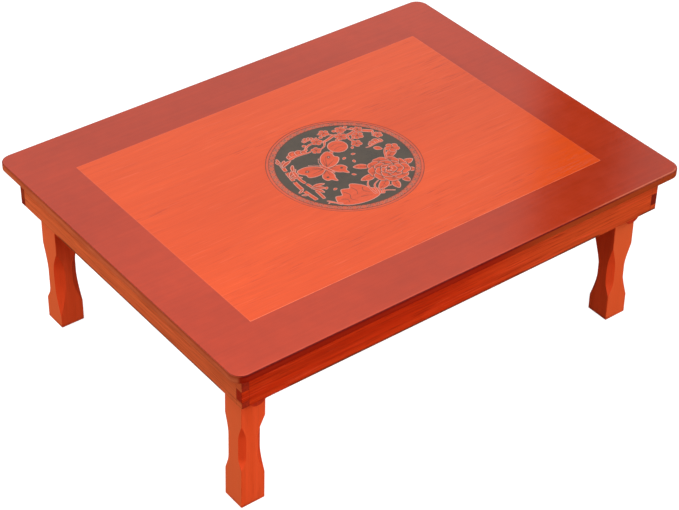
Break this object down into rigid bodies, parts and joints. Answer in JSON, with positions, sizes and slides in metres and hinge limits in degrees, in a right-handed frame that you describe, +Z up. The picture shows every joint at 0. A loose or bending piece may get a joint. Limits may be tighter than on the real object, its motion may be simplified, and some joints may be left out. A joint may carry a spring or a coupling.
{
  "type": "folding low table",
  "caption": "Rectangular folding floor table: lacquered top with inlaid field and round medallion, finger-jointed apron, waisted square legs that fold inward under the top.",
  "frame": {"origin": "on the floor under the middle of the table, legs open", "axes": "+X along the long side, +Y to the back, +Z up"},
  "size_m": [0.8, 0.6141, 0.284],
  "materials": {
    "border_lacquer": "dark red semi-gloss lacquer",
    "field_lacquer": "orange stained straight-grained veneer under semi-gloss lacquer",
    "medallion": "printed decoration under the lacquer",
    "rail_lacquer": "orange-red lacquered softwood",
    "leg_lacquer": "orange-red lacquered hardwood",
    "cheek_lacquer": "dark orange-red lacquered hardwood",
    "frame_wood": "planed pine, thin clear coat",
    "screw_steel": "yellow-zinc plated steel",
    "bolt_steel": "bright-zinc plated steel"
  },
  "bodies": {
    "table": {"tabletop_board": "border_lacquer", "center_field_veneer": "field_lacquer", "medallion_disc": "medallion", "front_rail": "rail_lacquer", "back_rail": "rail_lacquer", "left_rail": "rail_lacquer", "right_rail": "rail_lacquer", "outer_cheek_front_left": "cheek_lacquer", "outer_cheek_front_right": "cheek_lacquer", "outer_cheek_back_left": "cheek_lacquer", "outer_cheek_back_right": "cheek_lacquer", "inner_cheek_front_left": "cheek_lacquer", "inner_cheek_front_right": "cheek_lacquer", "inner_cheek_back_left": "cheek_lacquer", "inner_cheek_back_right": "cheek_lacquer", "corner_block_front_left": "frame_wood", "corner_block_front_right": "frame_wood", "corner_block_back_left": "frame_wood", "corner_block_back_right": "frame_wood", "center_batten": "frame_wood", "left_batten": "frame_wood", "right_batten": "frame_wood", "front_cleat": "frame_wood", "back_cleat": "frame_wood", "left_cleat": "frame_wood", "right_cleat": "frame_wood", "pivot_bolts": "bolt_steel", "thrust_washers": "bolt_steel", "nut_washers": "bolt_steel", "lock_nuts": "bolt_steel", "cheek_screws": "screw_steel", "block_screws": "screw_steel", "batten_screws": "screw_steel", "cleat_screws": "screw_steel"},
    "front_left_leg": {"leg_front_left": "leg_lacquer"},
    "front_right_leg": {"leg_front_right": "leg_lacquer"},
    "back_left_leg": {"leg_back_left": "leg_lacquer"},
    "back_right_leg": {"leg_back_right": "leg_lacquer"}
  },
  "joints": [
    {"name": "front_left_leg_fold", "type": "hinge", "parent": "table", "child": "front_left_leg", "pos_m": [-0.33375, -0.24195, 0.255], "axis": [0, -1, 0], "range_deg": [0, 91.2]},
    {"name": "front_right_leg_fold", "type": "hinge", "parent": "table", "child": "front_right_leg", "pos_m": [0.33375, -0.24195, 0.255], "axis": [0, 1, 0], "range_deg": [0, 91.1]},
    {"name": "back_left_leg_fold", "type": "hinge", "parent": "table", "child": "back_left_leg", "pos_m": [-0.33375, 0.24195, 0.255], "axis": [0, -1, 0], "range_deg": [0, 90.6]},
    {"name": "back_right_leg_fold", "type": "hinge", "parent": "table", "child": "back_right_leg", "pos_m": [0.33375, 0.24195, 0.255], "axis": [0, 1, 0], "range_deg": [0, 91]}
  ]
}
